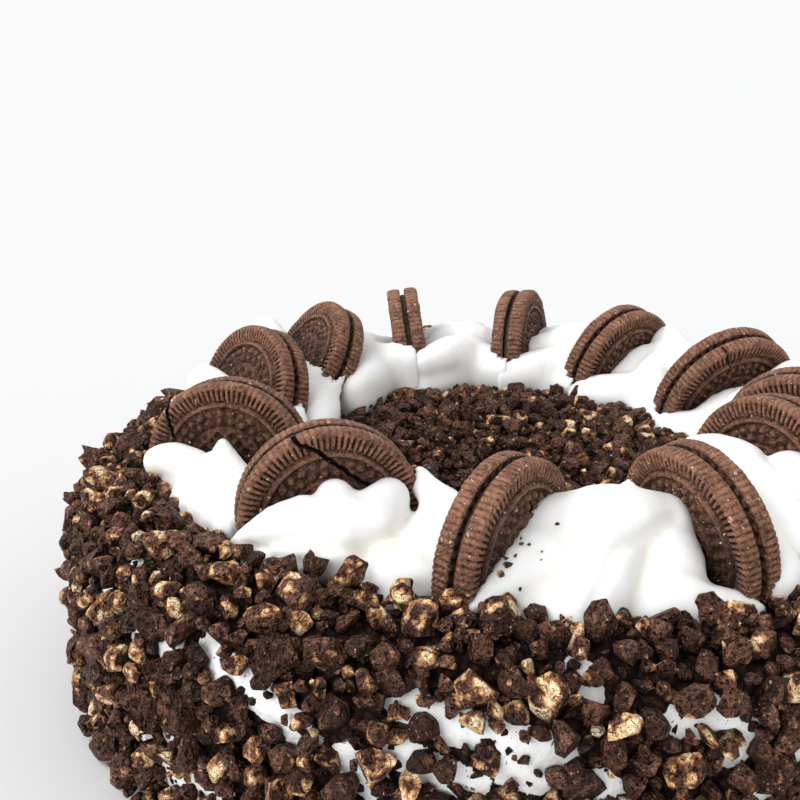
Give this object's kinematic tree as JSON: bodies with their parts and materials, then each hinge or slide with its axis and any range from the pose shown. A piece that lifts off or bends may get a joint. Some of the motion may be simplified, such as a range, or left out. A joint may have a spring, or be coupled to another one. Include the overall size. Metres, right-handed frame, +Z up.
{
  "type": "cookies and cream cake",
  "caption": "Round cream-coated layer cake with crushed chocolate cookies on its side and middle, and a ring of sandwich cookies standing between piped cream dollops.",
  "frame": {"origin": "middle of the cake's flat underside", "axes": "+Z up; +Y is the way the picture looks, so -Y is the cake's near side and +X its right"},
  "size_m": [0.2534, 0.2518, 0.0915],
  "materials": {
    "crumb_coat": "matt, porous crushed chocolate cookie with tan cream-coated bits",
    "chocolate_wafer": "matt, dry dark chocolate wafer with worn brown ridges",
    "cookie_filling": "matt, pale sugar filling",
    "whipped_cream": "soft satin whipped cream"
  },
  "bodies": {
    "root": {"cake_body": "crumb_coat", "crumb_bed": "crumb_coat", "cookie_01_wafer_a": "chocolate_wafer", "cookie_01_filling": "cookie_filling", "cookie_01_wafer_b": "chocolate_wafer", "cookie_02_wafer_a": "chocolate_wafer", "cookie_02_filling": "cookie_filling", "cookie_02_wafer_b": "chocolate_wafer", "cookie_03_wafer_a": "chocolate_wafer", "cookie_03_filling": "cookie_filling", "cookie_03_wafer_b": "chocolate_wafer", "cookie_04_wafer_a": "chocolate_wafer", "cookie_04_filling": "cookie_filling", "cookie_04_wafer_b": "chocolate_wafer", "cookie_05_wafer_a": "chocolate_wafer", "cookie_05_filling": "cookie_filling", "cookie_05_wafer_b": "chocolate_wafer", "cookie_06_wafer_a": "chocolate_wafer", "cookie_06_filling": "cookie_filling", "cookie_06_wafer_b": "chocolate_wafer", "cookie_07_wafer_a": "chocolate_wafer", "cookie_07_filling": "cookie_filling", "cookie_07_wafer_b": "chocolate_wafer", "cookie_08_wafer_a": "chocolate_wafer", "cookie_08_filling": "cookie_filling", "cookie_08_wafer_b": "chocolate_wafer", "cookie_09_wafer_a": "chocolate_wafer", "cookie_09_filling": "cookie_filling", "cookie_09_wafer_b": "chocolate_wafer", "cookie_10_wafer_a": "chocolate_wafer", "cookie_10_filling": "cookie_filling", "cookie_10_wafer_b": "chocolate_wafer", "cookie_11_wafer_a": "chocolate_wafer", "cookie_11_filling": "cookie_filling", "cookie_11_wafer_b": "chocolate_wafer", "cookie_12_wafer_a": "chocolate_wafer", "cookie_12_filling": "cookie_filling", "cookie_12_wafer_b": "chocolate_wafer", "cream_01": "whipped_cream", "cream_02": "whipped_cream", "cream_03": "whipped_cream", "cream_04": "whipped_cream", "cream_05": "whipped_cream", "cream_06": "whipped_cream", "cream_07": "whipped_cream", "cream_08": "whipped_cream", "cream_09": "whipped_cream", "cream_10": "whipped_cream", "cream_11": "whipped_cream", "cream_12": "whipped_cream"}
  },
  "joints": []
}
